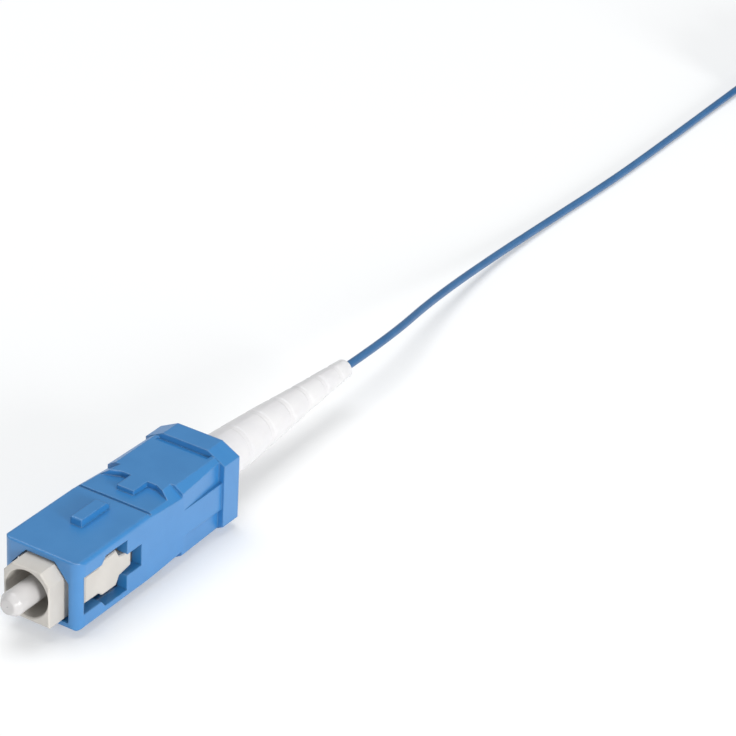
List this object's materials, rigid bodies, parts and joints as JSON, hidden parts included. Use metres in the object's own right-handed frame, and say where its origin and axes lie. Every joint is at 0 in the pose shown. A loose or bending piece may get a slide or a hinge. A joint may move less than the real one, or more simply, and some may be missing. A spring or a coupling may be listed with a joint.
{
  "type": "SC fibre connector pigtail",
  "caption": "Square push-pull fibre connector with a ceramic ferrule, inner frame, sliding blue grip, spring, tapered boot and a 0.9 mm buffered fibre tail.",
  "frame": {"origin": "centre of the ferrule's polished end face, on the ferrule axis", "axes": "+X back along the ferrule axis towards the cable, +Z to the key side, +Y to the left when looking along +X"},
  "size_m": [0.1804, 0.0123, 0.0092],
  "materials": {
    "grip_blue": "fine satin",
    "frame_white": "satin",
    "ceramic": "polished",
    "plated_metal": "satin nickel",
    "spring_steel": "drawn",
    "boot_white": "matte",
    "buffer_blue": "smooth",
    "fibre_glass": "clear",
    "epoxy": "clear amber",
    "tie_white": "smooth"
  },
  "bodies": {
    "core": {"plug_frame": "frame_white", "stop_ring": "frame_white", "boot": "boot_white", "spring": "spring_steel", "boot_fibre": "buffer_blue", "fibre_cord": "buffer_blue", "cord_hank": "buffer_blue", "hank_tie_1": "tie_white", "hank_tie_2": "tie_white"},
    "grip": {"grip_housing": "grip_blue"},
    "ferrule_group": {"ferrule": "ceramic", "ferrule_flange": "plated_metal", "bare_fibre": "fibre_glass", "coated_fibre": "fibre_glass", "epoxy_bead": "epoxy", "inner_buffer": "buffer_blue"}
  },
  "joints": [
    {"name": "grip_slide", "type": "slide", "parent": "core", "child": "grip", "axis": [1, 0, 0], "range_m": [-0.00055, 0.0004]},
    {"name": "ferrule_slide", "type": "slide", "parent": "core", "child": "ferrule_group", "axis": [1, 0, 0], "range_m": [0, 0.0012], "stiffness_N_per_m": 3000, "springref_m": -0.0026, "deforming": ["spring"]}
  ]
}
